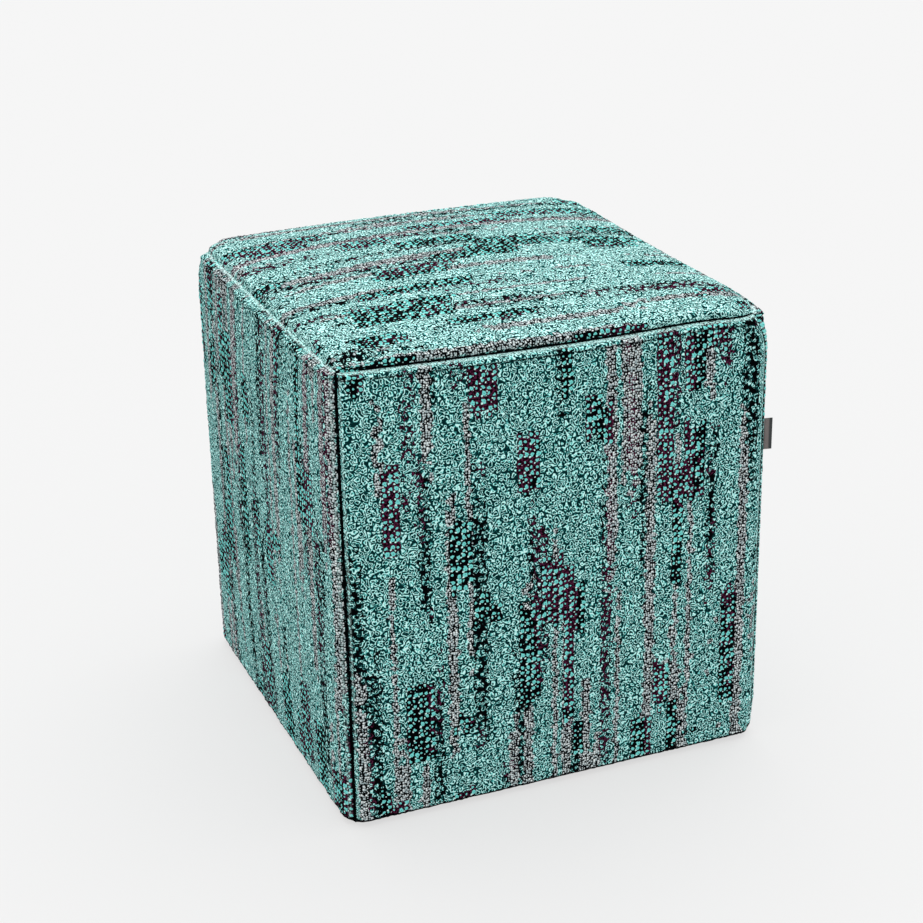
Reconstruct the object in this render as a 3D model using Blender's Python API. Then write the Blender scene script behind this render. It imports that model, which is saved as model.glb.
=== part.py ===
"""Cube pouf stool: six sewn cloth panels with their filling, and a folded label.

Each panel is one solid. Its outside is the cut cloth, and it holds the share of
the filling that lies behind that cloth: its four sides run from its seams to the
middle of the pouf, as a mitre. The six together are the whole filled cube.
Metres, +Z up, front towards -Y. The origin is on the floor under the middle.
"""
import bpy
import bmesh
from collections import namedtuple
from math import cos, exp, pi, radians, sin, sqrt
from mathutils import Vector

# Driving dimensions of the sewn cover
SEAM_WIDTH = 0.400       # between neighbouring upright seams, on all four sides
SEAM_HEIGHT = 0.432      # floor to the top seam
BASE_SEAM = 0.003        # floor to the base seam
HALF = SEAM_WIDTH / 2
MIDDLE = Vector((0, 0, SEAM_HEIGHT / 2))   # where the mitres meet

# The filled shape of the panels
SHOULDER = 0.011         # radius of a side panel beside its upright seams
SHOULDER_BASE = 0.008    # radius of a side panel above the base seam
SHOULDER_TOP = 0.006     # radius of a side panel below the top seam
SEAM_ANGLE = radians(65) # how steeply a panel leaves its seams, from its own plane
SHOULDER_RISE = 0.0080   # how far a side panel stands out past its seams
BELLY = 0.0042           # how much further it swells by its middle
CROWN_LIFT = 0.0082      # how far the top panel stands above its seams
CROWN = 0.0165           # how much further it is domed by its middle
BASE_TURN = 0.010        # width of the base panel's turned-up edge

# The lapped top seam: the allowance is turned down and topstitched
LAP = 0.0046             # depth of the lapped band under the top seam
LAP_RISE = 0.0012        # how far the band stands proud of the side panel
STITCH_GROOVE = 0.0010   # how deep the stitch line is drawn in
STITCH_WIDTH = 0.0016    # half width of the drawn-in line
LIP_WIDTH = 0.0120       # width of the top panel's rolled edge, in from the seam
LIP_SOFT = 0.003         # how slowly the rolled edge starts to rise from the seam

SEAM_GAP = 0.0003        # clearance between neighbouring panels

# The label, folded once and caught in the front right seam
LABEL_HEIGHT = 0.030
LABEL_REACH = 0.0086     # how far its fold stands out from the seam
LABEL_ROOT = 0.0013      # where it starts, clear of both panels
LABEL_THICK = 0.0012     # its two layers pressed together
LABEL_MIDDLE = 0.3100    # height of its middle above the floor
LABEL_TURN = radians(30) # how far it leans from +X towards the front
LABEL_SKEW = -0.0010     # how much its outer end has slipped down

Side = namedtuple("Side", "name out sag skew")
SIDES = (                # sag is how far the top seam drops at mid-width, skewed to one end
    Side("front_panel", Vector((0, -1, 0)), 0.0056, -0.45),
    Side("right_panel", Vector((1, 0, 0)), 0.0034, 0),
    Side("back_panel", Vector((0, 1, 0)), -0.0015, 0),
    Side("left_panel", Vector((-1, 0, 0)), 0.0016, 0),
)

# The top panel's edge along each top seam: its radius, and how far it rolls out over the seam
Roll = namedtuple("Roll", "radius out")
TOP_ROLL = {
    "front_panel": Roll(0.024, 0.0070),
    "right_panel": Roll(0.048, 0.0050),
    "back_panel": Roll(0.016, 0.0040),
    "left_panel": Roll(0.021, 0.0034),
}

# The top corners, drawn in and down where the layers of seam meet; the side panels'
# swelling also tapers there, by a share
Pull = namedtuple("Pull", "x y inward down down_reach taper")
CORNER_PULLS = (
    Pull(1, -1, 0.0046, 0.0062, 0.045, 0.0),
    Pull(-1, 1, 0.0030, 0.0044, 0.014, 0.45),
    Pull(1, 1, 0.0020, 0.0018, 0.020, 0.4),
    Pull(-1, -1, 0.0009, 0.0000, 0.020, 0.2),
)
INWARD_REACH = 0.013
TAPER_REACH = 0.022

# The front right seam is rolled round onto the side, away from its two ends
ROLLED = Vector((0.0066, 0.0026, 0))
ROLL_REACH = 0.008

# Creases where the cloth gathers at the top corners, sunk into the top panel:
# place in plan, direction, half length, half width and depth
Crease = namedtuple("Crease", "x y turn half_length half_width depth")
CREASES = (
    Crease(-0.177, -0.1915, radians(5), 0.017, 0.0042, 0.0060),   # near left corner
    Crease(0.190, -0.184, radians(118), 0.011, 0.0045, 0.0014),   # tuck at the front right
    Crease(-0.189, 0.191, radians(-42), 0.010, 0.0045, 0.0026),   # folded back left corner
    Crease(0.190, 0.190, radians(45), 0.011, 0.0060, 0.0020),     # back right corner
)

# Distances from a seam where the cloth is shaped, dense where it turns
ACROSS = (0, 0.0012, 0.0028, 0.0048, 0.0072, 0.010, 0.0135, 0.018, 0.024, 0.033, 0.046, 0.065,
          0.090, 0.120, 0.158, HALF)
BELOW_LAP = (0, 0.0011, 0.0024, 0.0038, 0.0050, 0.0058, 0.0066, 0.0074, 0.0082, 0.0105, 0.015,
             0.022, 0.034, 0.048, 0.068, 0.097, 0.130, 0.170)
ABOVE_BASE = (0, 0.0015, 0.0035, 0.0065, 0.011, 0.018, 0.032, 0.055, 0.090, 0.130, 0.172, 0.215)
BASE_ACROSS = (0, 0.0015, 0.004, 0.007, 0.010, 0.060, HALF)


def ellipse_rise(distance, radius):
    """Share of the full rise at a distance from a seam, up a quarter ellipse."""
    left = min(1.0, max(0.0, 1.0 - distance / radius))
    return sqrt(1.0 - left * left)


def shoulder_rise(distance, radius):
    """Share of the full rise round an arc that leaves the seam at the seam angle."""
    left = max(0.0, radius * sin(SEAM_ANGLE) - distance)
    low = radius * cos(SEAM_ANGLE)
    return (sqrt(radius * radius - left * left) - low) / (radius - low)


def hump(distance, width):
    """A smooth hump between 0 and a width, 1 at its middle."""
    if not 0 < distance < width:
        return 0.0
    return sin(pi * distance / width) ** 2


def edge_rise(distance, radius):
    """Share of the top panel's rise at a distance from a seam, slow at the seam itself."""
    return ellipse_rise(distance, radius) * (1 - exp(-max(0.0, distance) / LIP_SOFT))


def fade(distance, start, end):
    """1 before start, 0 after end, and a smooth slope between."""
    share = min(1.0, max(0.0, (distance - start) / (end - start)))
    return 1 - share * share * (3 - 2 * share)


def seam_sag(name, across):
    """Drop of a side's top seam, at -1 to 1 across that side."""
    side = next(side for side in SIDES if side.name == name)
    return side.sag * (1 - across * across) * (1 - side.skew * across)


def corner_distance(pull, spot):
    """Distance of a spot from one of the top corners."""
    return (spot - Vector((pull.x * HALF, pull.y * HALF, SEAM_HEIGHT))).length


def settled(spot):
    """Where a place on the plain sewn shape ends, with its corners and one seam drawn."""
    moved = spot.copy()
    for pull in CORNER_PULLS:
        distance = corner_distance(pull, spot)
        inward = pull.inward * exp(-(distance / INWARD_REACH) ** 2)
        down = pull.down * exp(-(distance / pull.down_reach) ** 2)
        moved += Vector((-pull.x * inward, -pull.y * inward, -down))
    off = Vector((spot.x - HALF, spot.y + HALF)).length
    ends = (1 - fade(spot.z, BASE_SEAM, 0.040)) * (1 - fade(SEAM_HEIGHT - spot.z, 0.008, 0.040))
    return moved + ROLLED * (exp(-(off / ROLL_REACH) ** 2) * ends)


def side_point(side, across, height):
    """A point on a side panel, at -1 to 1 across it and 0 to 1 up it."""
    right = Vector((0, 0, 1)).cross(side.out)
    top = SEAM_HEIGHT - seam_sag(side.name, across)
    spot = side.out * HALF + right * (across * HALF)
    spot.z = BASE_SEAM + (top - BASE_SEAM) * height
    from_edge = (1 - abs(across)) * HALF
    from_base = height * SEAM_HEIGHT
    from_top = (1 - height) * SEAM_HEIGHT
    edge = shoulder_rise(from_edge, SHOULDER)
    full = edge * shoulder_rise(from_base, SHOULDER_BASE) * shoulder_rise(from_top, SHOULDER_TOP)
    for pull in CORNER_PULLS:
        full *= 1 - pull.taper * exp(-(corner_distance(pull, spot) / TAPER_REACH) ** 2)
    belly = (1 - across ** 4) * (1 - (2 * height - 1) ** 4)
    lap = fade(from_top, LAP, LAP + STITCH_WIDTH) * (1 - fade(from_top, 0, SHOULDER_TOP / 2))
    groove = hump(from_top - LAP, 2 * STITCH_WIDTH)
    seam_work = (LAP_RISE * lap - STITCH_GROOVE * groove) * edge
    return settled(spot + side.out * (SHOULDER_RISE * full + BELLY * belly + seam_work))


def crease_depth(x, y):
    """How far the corner creases sink the top panel at a place in plan."""
    depth = 0.0
    for crease in CREASES:
        dx, dy = x - crease.x, y - crease.y
        along = dx * cos(crease.turn) + dy * sin(crease.turn)
        off = dy * cos(crease.turn) - dx * sin(crease.turn)
        depth += crease.depth * exp(-(along / crease.half_length) ** 2 - (off / crease.half_width) ** 2)
    return depth


def top_point(across, back):
    """A point on the top panel, at -1 to 1 along X and along Y."""
    front_share, right_share = (1 - back) / 2, (1 + across) / 2
    sag = front_share * seam_sag("front_panel", across) + (1 - front_share) * seam_sag("back_panel", across)
    sag += right_share * seam_sag("right_panel", back) + (1 - right_share) * seam_sag("left_panel", back)
    spot = Vector((across * HALF, back * HALF, SEAM_HEIGHT - sag))
    rise = 1.0
    roll = Vector((0, 0, 0))
    for side in SIDES:
        distance = HALF - side.out.dot(spot)
        edge = TOP_ROLL[side.name]
        rise *= edge_rise(distance, edge.radius)
        roll += side.out * (edge.out * sin(pi * min(distance, LIP_WIDTH) / LIP_WIDTH))
    dome = (1 - across ** 2) * (1 - back ** 2)
    sunk = crease_depth(spot.x, spot.y) * rise
    spot.z += CROWN_LIFT * rise + CROWN * dome - sunk
    return settled(spot + roll * rise)


def base_point(across, back, gap_shift):
    """A point on the base panel: flat on the floor, turned up at its edge."""
    nearest = HALF * (1 - max(abs(across), abs(back)))
    up = (BASE_SEAM - gap_shift) * (1 - ellipse_rise(nearest, BASE_TURN))
    return Vector((across * HALF, back * HALF, gap_shift + up))


def mirrored(distances, length):
    """Places from -1 to 1, from distances to the nearer end of a length."""
    low = [2 * distance / length - 1 for distance in distances]
    return low + [-place for place in reversed(low) if place < -1e-6]


def up_side():
    """Places from 0 at the base seam to 1 at the top seam."""
    low = [distance / SEAM_HEIGHT for distance in ABOVE_BASE]
    return low + [1 - distance / SEAM_HEIGHT for distance in reversed(BELOW_LAP)]


def material(name, colour, roughness):
    """A plain cloth finish."""
    finish = bpy.data.materials.new(name)
    finish.use_nodes = True
    shader = finish.node_tree.nodes["Principled BSDF"]
    shader.inputs["Base Color"].default_value = (*colour, 1)
    shader.inputs["Roughness"].default_value = roughness
    return finish


def add_object(name, mesh_source, finish, collection):
    """Turns a bmesh into a named object with its finish."""
    bmesh.ops.recalc_face_normals(mesh_source, faces=mesh_source.faces)
    mesh = bpy.data.meshes.new(name)
    mesh_source.to_mesh(mesh)
    mesh_source.free()
    mesh.materials.append(finish)
    mesh.shade_smooth()
    mesh.set_sharp_from_angle(angle=radians(40))
    piece = bpy.data.objects.new(name, mesh)
    collection.objects.link(piece)
    return piece


def add_panel(name, columns, rows, point, out, finish, collection):
    """One panel: a grid laid on the cloth's outside, with mitred sides to the middle."""
    solid = bmesh.new()
    bmesh.ops.create_grid(solid, x_segments=len(columns) - 1, y_segments=len(rows) - 1, size=1)
    for vertex in solid.verts:
        column = round((vertex.co.x + 1) / 2 * (len(columns) - 1))
        row = round((vertex.co.y + 1) / 2 * (len(rows) - 1))
        vertex.co = point(columns[column], rows[row])
    seams = [edge for edge in solid.edges if edge.is_boundary]
    inner = bmesh.ops.extrude_edge_only(solid, edges=seams)["geom"]
    bmesh.ops.pointmerge(solid, verts=[item for item in inner if isinstance(item, bmesh.types.BMVert)],
                         merge_co=MIDDLE)
    bmesh.ops.translate(solid, verts=solid.verts, vec=out * (SEAM_GAP / sqrt(2)))
    bmesh.ops.triangulate(solid, faces=solid.faces)
    return add_object(name, solid, finish, collection)


def add_label(finish, collection):
    """A strip folded once, its fold outwards, standing out of the front right seam."""
    seam = settled(Vector((HALF, -HALF, LABEL_MIDDLE)))
    away = Vector((cos(LABEL_TURN), -sin(LABEL_TURN), 0))
    normal = Vector((sin(LABEL_TURN), cos(LABEL_TURN), 0))
    length = LABEL_REACH - LABEL_ROOT
    solid = bmesh.new()
    bmesh.ops.create_cube(solid, size=1)
    fold = [edge for edge in solid.edges if all(vertex.co.x > 0 for vertex in edge.verts)
            and abs(edge.verts[0].co.z - edge.verts[1].co.z) > 0.5]
    for vertex in solid.verts:
        reach = LABEL_ROOT + (vertex.co.x + 0.5) * length
        slip = -LABEL_SKEW * (vertex.co.x + 0.5)
        lift = Vector((0, 0, vertex.co.z * LABEL_HEIGHT + slip))
        vertex.co = seam + away * reach + normal * (vertex.co.y * LABEL_THICK) + lift
    bmesh.ops.bevel(solid, geom=fold, offset=LABEL_THICK * 0.45, segments=3, profile=0.5, affect="EDGES")
    return add_object("label", solid, finish, collection)


def main():
    for item in list(bpy.data.objects):
        bpy.data.objects.remove(item)
    collection = bpy.data.collections.new("cube_pouf_stool")
    bpy.context.scene.collection.children.link(collection)
    cover = material("cover_cloth", (0.075, 0.250, 0.230), 0.9)
    base = material("base_cloth", (0.030, 0.034, 0.036), 0.9)
    tab = material("label_tape", (0.130, 0.120, 0.110), 0.8)

    across = mirrored(ACROSS, SEAM_WIDTH)
    for side in SIDES:
        add_panel(side.name, across, up_side(), lambda u, v, side=side: side_point(side, u, v),
                  side.out, cover, collection)
    add_panel("top_panel", across, across, top_point, Vector((0, 0, 1)), cover, collection)
    base_across = mirrored(BASE_ACROSS, SEAM_WIDTH)
    shift = SEAM_GAP / sqrt(2)
    add_panel("base_panel", base_across, base_across, lambda u, v: base_point(u, v, shift),
              Vector((0, 0, -1)), base, collection)
    add_label(tab, collection)


main()
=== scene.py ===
"""The looks of the cube pouf stool: looped cover cloth, topstitched seams, label and base.

Metres, +Z up, front towards -Y. Each cover panel is a fine closed form of its sewn
cloth, in the place of its plain solid. Its cloth is laid out flat in the UV map
"cloth", in metres, and the woven pattern and its relief both read that map.
"""
from collections import namedtuple
from functools import partial
from math import cos, pi, radians, sin, sqrt

import bpy
import numpy as np
from mathutils import Matrix, Vector


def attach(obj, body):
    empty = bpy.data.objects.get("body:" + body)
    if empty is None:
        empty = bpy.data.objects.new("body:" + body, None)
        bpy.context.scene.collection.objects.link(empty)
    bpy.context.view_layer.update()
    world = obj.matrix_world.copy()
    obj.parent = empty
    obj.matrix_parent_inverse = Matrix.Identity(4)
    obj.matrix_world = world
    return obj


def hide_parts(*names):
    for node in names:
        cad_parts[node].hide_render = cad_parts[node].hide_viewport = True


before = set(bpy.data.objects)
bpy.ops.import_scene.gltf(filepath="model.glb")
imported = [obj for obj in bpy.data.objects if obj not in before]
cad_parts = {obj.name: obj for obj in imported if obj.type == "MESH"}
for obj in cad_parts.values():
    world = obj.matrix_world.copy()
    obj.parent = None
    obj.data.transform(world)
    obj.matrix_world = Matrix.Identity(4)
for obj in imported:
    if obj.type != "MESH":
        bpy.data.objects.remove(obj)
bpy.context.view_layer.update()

bl_info = {
    "name": "Cube Pouf Stool",
    "version": (1, 0, 0),
    "blender": (4, 5, 0),
    "location": "3D View > Sidebar > Pouf",
    "description": "Makes the cover cloth, stitches, label and stage of a cube pouf stool",
    "category": "Object",
}

# The sewn cover, in the sizes of its solids. Only its crown and its belly are lower, because
# the filling's push adds to them here, and its sides turn under more tightly at the base
HALF = 0.200             # half of the seam width, on all four sides
SEAM_HEIGHT = 0.432      # floor to the top seam
BASE_SEAM = 0.003        # floor to the base seam
MIDDLE = np.array((0, 0, SEAM_HEIGHT / 2))
# Radii of a side's shoulders at its upright seams, at the base and at the top
SHOULDER, SHOULDER_BASE, SHOULDER_TOP = 0.011, 0.0045, 0.006
SEAM_ANGLE = radians(65)  # how far a shoulder turns, from the side's face to the seam
SHOULDER_RISE = 0.0080   # how far a side stands out of its seams past the shoulder
BELLY = 0.0034           # how much further its middle stands out
CROWN_LIFT = 0.0082      # how far the top rises within its rolled edges
CROWN = 0.0160           # how much further it rises at its middle
BASE_TURN = 0.010        # width of the base's edge that turns up to its seams
LAP = 0.0046             # depth of the lapped band under the top seam
LAP_RISE = 0.0012        # how far that band stands out
STITCH_GROOVE = 0.0010   # depth of the groove that its stitches draw
STITCH_WIDTH = 0.0016    # half of that groove's width
LIP_WIDTH = 0.0120       # width of the crown's edge that rolls out over its seam
LIP_SOFT = 0.003         # how softly the crown's edge leaves its seam
SEAM_GAP = 0.0003        # between two panels, so that they don't touch

LABEL_REACH = 0.0086     # how far the label stands out of its seam
LABEL_ROOT = 0.0013      # where it starts, just out of the seam
LABEL_THICK = 0.0012
LABEL_MIDDLE = 0.3087    # height of its middle
LABEL_TURN = radians(30)  # from the right, towards the front
LABEL_SLIP = 0.0010      # how much higher its fold stands than its root
# From the label's middle to each layer and to the fold's turn, and the tape's thickness, as
# shares of the label's
LAYER_SHARE, FOLD_SHARE, TAPE_SHARE = 0.30, 0.35, 0.32

Side = namedtuple("Side", "name out sag skew radius roll tuck lip fold dark")
# For each side: sag of the top seam, the top panel's rolled edge there, then how both are
# sewn: how far they dip, how far the side's edge stands up, and the widths of the painted
# highlight on that edge and of the painted shade in the seam
SIDES = (
    Side("front", np.array((0, -1, 0)), 0.0056, -0.45, 0.024, 0.0070, 1.4, 0.0000, 0.0020, 0.0016),
    Side("right", np.array((1, 0, 0)), 0.0034, 0, 0.048, 0.0050, 1.0, 0.0002, 0.0016, 0.0013),
    Side("back", np.array((0, 1, 0)), -0.0015, 0, 0.016, 0.0040, 0.9, 0.0003, 0.0014, 0.0010),
    Side("left", np.array((-1, 0, 0)), 0.0016, 0, 0.021, 0.0034, 0.2, 0.0006, 0.0010, 0.0003),
)
UP = np.array((0, 0, 1))

Pull = namedtuple("Pull", "x y inward down down_reach taper")
CORNER_PULLS = (         # top corners, drawn in and down by their layers of seam
    Pull(1, -1, 0.0046, 0.0062, 0.045, 0.0),
    Pull(-1, 1, 0.0030, 0.0044, 0.014, 0.45),
    Pull(1, 1, 0.0020, 0.0018, 0.020, 0.4),
    Pull(-1, -1, 0.0009, 0.0000, 0.020, 0.2),
)
INWARD_REACH = 0.013     # how far from a corner it is drawn in
TAPER_REACH = 0.022      # how far from a corner the sides' shoulders are flatter
ROLLED = np.array((0.0066, 0.0026, 0))   # the front right seam, rolled onto the side
ROLL_REACH = 0.008       # how far from the seam the cloth goes with it
ROLL_START, ROLL_FULL = 0.008, 0.040     # from the top seam to where the roll starts and is full

Crease = namedtuple("Crease", "x y turn half_length half_width depth")
CREASES = (              # pressed into the top cloth by its corners
    Crease(-0.177, -0.1915, radians(5), 0.017, 0.0042, 0.0060),
    Crease(0.190, -0.184, radians(118), 0.011, 0.0045, 0.0014),
    Crease(-0.189, 0.191, radians(-42), 0.010, 0.0045, 0.0026),
    Crease(0.190, 0.190, radians(45), 0.011, 0.0060, 0.0020),
)

# The top cloth folds over its front seam by the near left corner, in an arc
FOLD_MIDDLE = np.array((-0.180, -0.189))
FOLD_RADIUS, FOLD_WIDTH, FOLD_DEPTH = 0.0090, 0.0011, 0.0018
FOLD_FACING = np.array((cos(radians(208)), sin(radians(208))))
FOLD_ENDS = (0.35, 0.60)  # cosines of the turn from that facing, between which the arc fades
FOLD_SOFT = 0.004        # half of the width in which the seam's own line of painted shade ends there

# The cloth drawn into its seams, finer than the solids have it
TUCK = 0.0011            # how far both cloths dip where they are sewn together
TUCK_REACH = 0.0014
UPRIGHT_TUCK = 0.7       # share of that dip in an upright seam
TUCK_FULL = 0.012        # height above the floor from which the cloth is tucked fully
LIP_REACH = 0.0009       # width of the fold that stands up along a top seam
SEAM_DARK = 0.0007       # width of the line of painted shade in an upright seam
BASE_DARK = 0.0058       # depth of the cloth above the floor that is painted in shade
STITCH_LINE = LAP + STITCH_WIDTH
STITCH_ENDS = 0.975      # share of a side that its stitches run along
GROOVE_DARK = 0.7        # how dark the painted shade in the stitches' groove is, from 0 to 1
TOP_PALE, UPRIGHT_PALE = 0.95, 0.4       # how pale the painted highlights are on the folds by top and upright seams
HIGHLIGHT_LINE = 0.0022        # from an upright seam to the painted highlight on its fold
HIGHLIGHT_WIDTH = (0.0002, 0.0010)             # half widths of that line, where full and where gone
PUCKERS = ((0.031, 0.00030), (0.0137, 0.00022), (0.0083, 0.00014))   # length and height of each
PUCKER_START, PUCKER_REACH = 0.0016, 0.009   # how far from a seam its puckers start and run
PUCKER_SWAY, SWAY_LENGTH = 1.3, 0.024    # an uneven wave that sets some closer together
PUCKER_SEED = 1.7        # keeps each wave of puckers out of step with the last
FLAT_EDGE = (0.0006, 0.0040)             # from a seam to where its relief starts and is full

# The filling's push on each panel of cloth, in its simulation. The sewn shape is the filled
# one already, so the pressure is low, and no place moves further than the cap
FILL_GRID = 71           # points along each side of the simulated cloth
FILL_FRAMES = 20
FILL_PRESSURE = 0.08
FILL_CAP = 0.0015
CLOTH_STIFFNESS = 60.0
HELD = 2                 # rows of the simulated grid that the seam's layers hold

# Painted light, from 0 to 1: how far the deep yarn between the curls is painted lighter, most on the top,
# where the key light from above fills those gaps and the slanting view sees the curls lie over them
GAP_LIGHT = {"front": 0.0, "right": 0.1, "back": 0.1, "left": 0.15, "top": 0.6}
# Where each panel is cut from the woven pattern
PATTERN_START = {"front": (23.7, 8.1), "right": (0.83, 0.61), "back": (1.66, 1.22),
                 "left": (41.3, 2.7), "top": (5.935, 61.2)}
# The mesh's spacing at the seams and inside, and how far from a seam it widens
EDGE_STEP, CLOTH_STEP, STEP_REACH = 0.00036, 0.00150, 0.0040

# Streaks of another look along the cloth's columns of loops. For each: the loops that it is
# chosen by, how fast it changes from column to column and along one, its start in the
# noise, the level above which it shows, how ragged its ends are, and how far its columns
# slide against each other
Streak = namedtuple("Streak", "name loops group_rate run_rate start level ragged slide")
STREAKS = (
    Streak("bars", "open", 0.28, 0.038, 3.1, 0.640, 0.01, 1.5),
    Streak("speckle", "tight", 0.36, 0.014, 17.7, 0.600, 0.08, 4.0),
    Streak("plum", "tight", 0.28, 0.018, 41.3, 0.565, 0.16, 4.0),
    Streak("grey", "tight", 0.60, 0.014, 67.9, 0.645, 0.06, 5.0),
)
# Scales of the waves that draw turns of thread 0.9 mm apart, base threads 1.3 mm and tape
# ribs 1 mm apart: each a little coarser than the real one, so that it can show
THREAD_TURNS, BASE_THREADS, TAPE_RIBS = 400.0, 250.0, 330.0
GROUP_LEAN = 0.07        # how much groups of columns differ in the level they need
GROUP_APART = 60.0       # keeps the noise of one group from that of the next

# Waves about 5 mm long bend the rows of loops and, less, the streaks' grid, by these metres
WANDER_RATE, WANDER, GRID_WANDER = 190.0, (0.0030, 0.0034, 0), (0.0014, 0.0018, 0)
# Real fibres are finer than a pixel, so they are drawn 2 mm across
FIBRE_RATE = 520.0
FIBRE_EDGE = (1.3, 0.35)  # how far fibres blur a loop's edge, and its size without them
# Turns of yarn in each curl, how far noise bends them, and the waves of that noise
CURL_TURNS, CURL_BEND, BEND_RATE = 13.4, 8.0, 300.0
# How much larger a loop can be than the least: open ones, crumbs between them, packed ones
LOOP_MORE, CRUMB_MORE, PACKED_MORE = 0.0013, 0.0008, 0.0009
CRUMB_SHARE = 0.3        # a crumb's least radius, as a share of an open loop's
# How unevenly each kind of loop is set, from 0, a grid, to 1
LOOP_UNEVEN, CRUMB_UNEVEN, PACKED_UNEVEN, BEAD_UNEVEN = 0.40, 0.6, 0.9, 0.8
# Half the width of the soft edge of each, as a share of its radius
LOOP_EDGE, CRUMB_EDGE, PACKED_EDGE, BEAD_EDGE = 0.12, 0.3, 0.14, 0.3
# The levels of noise between which a thread is plum, and a fold's painted highlight shows
PLUM_THREADS, HIGHLIGHT_THREADS = (0.46, 0.58), (0.42, 0.56)
# How much each adds to the yarn's height
STRAND_SHARE, FIBRE_SHARE, GAP_LIGHT_SHARE = 1.35, 2.0, 0.5
YARN_DEPTH = (-0.4, 2.5)  # heights of the yarn that the stops below run from and to
YARN_EDGE = (0.25, 0.55)  # its heights between which it comes up out of the ground
BEAD_LEAST, BEAD_MORE = 0.20, 0.3        # a bead's radius, as a share of its spacing
DARK_UNEVEN = 1.2        # how much the noise of the threads breaks up the painted shade in a seam
DARK_EDGE = (0.95, 1.35)  # levels of the two together, between which the cloth is painted in shade
# Where the relief of a curl and of an open loop starts and ends its fall, in shares of their
# sizes, and its heights there
CURL_RELIEF, LOOP_RELIEF = (0.1, 0.55, 1.0, 0.35), (0.4, 1.35, 1.0, 0.0)
# Where each colour of the yarn stands, from painted shade deep between the curls to a painted highlight
# on their tops
YARN_STOPS = ((0.31, "deep"), (0.46, "teal_dark"), (0.61, "teal"), (0.79, "mint"), (0.92, "crumb"))


def linear(hex_colour):
    """An sRGB hex colour as linear red, green and blue."""
    shares = [int(hex_colour[i:i + 2], 16) / 255 for i in (1, 3, 5)]
    return [s / 12.92 if s <= 0.04045 else ((s + 0.055) / 1.055) ** 2.4 for s in shares]


def dimmed(colour, share=1):
    """A colour as a socket takes it, at a share of its brightness."""
    return (*(share * part for part in colour), 1)


def new_finish(name):
    """A material with an adder of nodes to its tree."""
    finish = bpy.data.materials.new(name)
    finish.use_nodes = True
    return finish, partial(node, finish.node_tree)


def surface(finish, roughness, colour, relief=None, specular=None):
    """Sets a material's shader from its colour, which is a value or a node, and its relief."""
    tree = finish.node_tree
    shader = tree.nodes["Principled BSDF"]
    shader.inputs["Roughness"].default_value = roughness
    if specular is not None:
        shader.inputs["Specular IOR Level"].default_value = specular
    if relief:
        tree.links.new(first_output(relief), shader.inputs["Normal"])
    if isinstance(colour, bpy.types.Node):
        tree.links.new(first_output(colour), shader.inputs["Base Color"])
    else:
        shader.inputs["Base Color"].default_value = colour
    return shader


def first_output(made):
    return next(output for output in made.outputs if output.enabled)


def node(tree, kind, sockets=(), **settings):
    """Adds a node to a shader or geometry tree, with its settings and its links or values.

    A kind without "Node" in its name is a ShaderNode. sockets are named, or listed in order.
    A node that is given as a value stands for the first output that its settings leave it."""
    added = tree.nodes.new(kind if "Node" in kind else "ShaderNode" + kind)
    for name, value in settings.items():
        setattr(added, name, value)
    for key, value in sockets.items() if isinstance(sockets, dict) else enumerate(sockets):
        if isinstance(value, bpy.types.Node):
            value = first_output(value)
        if isinstance(value, bpy.types.NodeSocket):
            tree.links.new(value, added.inputs[key])
        else:
            added.inputs[key].default_value = value
    return added


# ---- the sewn shape

def ellipse_rise(distance, radius):
    left = np.clip(1 - distance / radius, 0, 1)
    return np.sqrt(1 - left * left)


def shoulder_rise(distance, radius):
    left = np.maximum(0, radius * sin(SEAM_ANGLE) - distance)
    low = radius * cos(SEAM_ANGLE)
    return (np.sqrt(radius * radius - left * left) - low) / (radius - low)


def hump(distance, width):
    inside = (distance > 0) & (distance < width)
    return np.where(inside, np.sin(pi * distance / width) ** 2, 0)


def edge_rise(distance, radius):
    return ellipse_rise(distance, radius) * (1 - np.exp(-np.maximum(0, distance) / LIP_SOFT))


def fade(distance, start, end):
    share = np.clip((distance - start) / (end - start), 0, 1)
    return 1 - share * share * (3 - 2 * share)


def seam_sag(side, across):
    return side.sag * (1 - across * across) * (1 - side.skew * across)


def corner_distance(pull, spots):
    return np.linalg.norm(spots - np.array((pull.x * HALF, pull.y * HALF, SEAM_HEIGHT)), axis=-1)


def settled(spots):
    """Where places on the plain sewn shape end, with the corners and one seam drawn."""
    moved = spots.copy()
    for pull in CORNER_PULLS:
        distance = corner_distance(pull, spots)
        inward = pull.inward * np.exp(-(distance / INWARD_REACH) ** 2)
        down = pull.down * np.exp(-(distance / pull.down_reach) ** 2)
        moved += np.stack((-pull.x * inward, -pull.y * inward, -down), -1)
    height = spots[..., 2]
    off = np.hypot(spots[..., 0] - HALF, spots[..., 1] + HALF)
    from_top = SEAM_HEIGHT - height
    ends = (1 - fade(height, BASE_SEAM, ROLL_FULL)) * (1 - fade(from_top, ROLL_START, ROLL_FULL))
    return moved + ROLLED * (np.exp(-(off / ROLL_REACH) ** 2) * ends)[..., None]


def tucked(out, neighbours, height):
    """How far seams draw the cloth in: neighbours are (direction, distance, strength)."""
    above_base = 1 - fade(height, BASE_SEAM, TUCK_FULL)
    moved = 0
    own = 0
    for direction, distance, strength in neighbours:
        draw = TUCK * strength * np.exp(-(distance / TUCK_REACH) ** 2) * above_base
        moved = moved - direction * draw[..., None]
        own = np.maximum(own, draw)
    return moved - out * own[..., None]


def puckered(out, along, distance, seed):
    """Small puckers that run from a seam into the cloth."""
    wave = 0
    for length, size in PUCKERS:
        seed += PUCKER_SEED
        sway = PUCKER_SWAY * np.sin(along / SWAY_LENGTH + 2 * seed)
        wave = wave + size * np.sin(2 * pi * along / length + seed + sway)
    away = np.exp(-distance / PUCKER_REACH) * (1 - np.exp(-distance / PUCKER_START))
    return out * (wave * away)[..., None]


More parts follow.
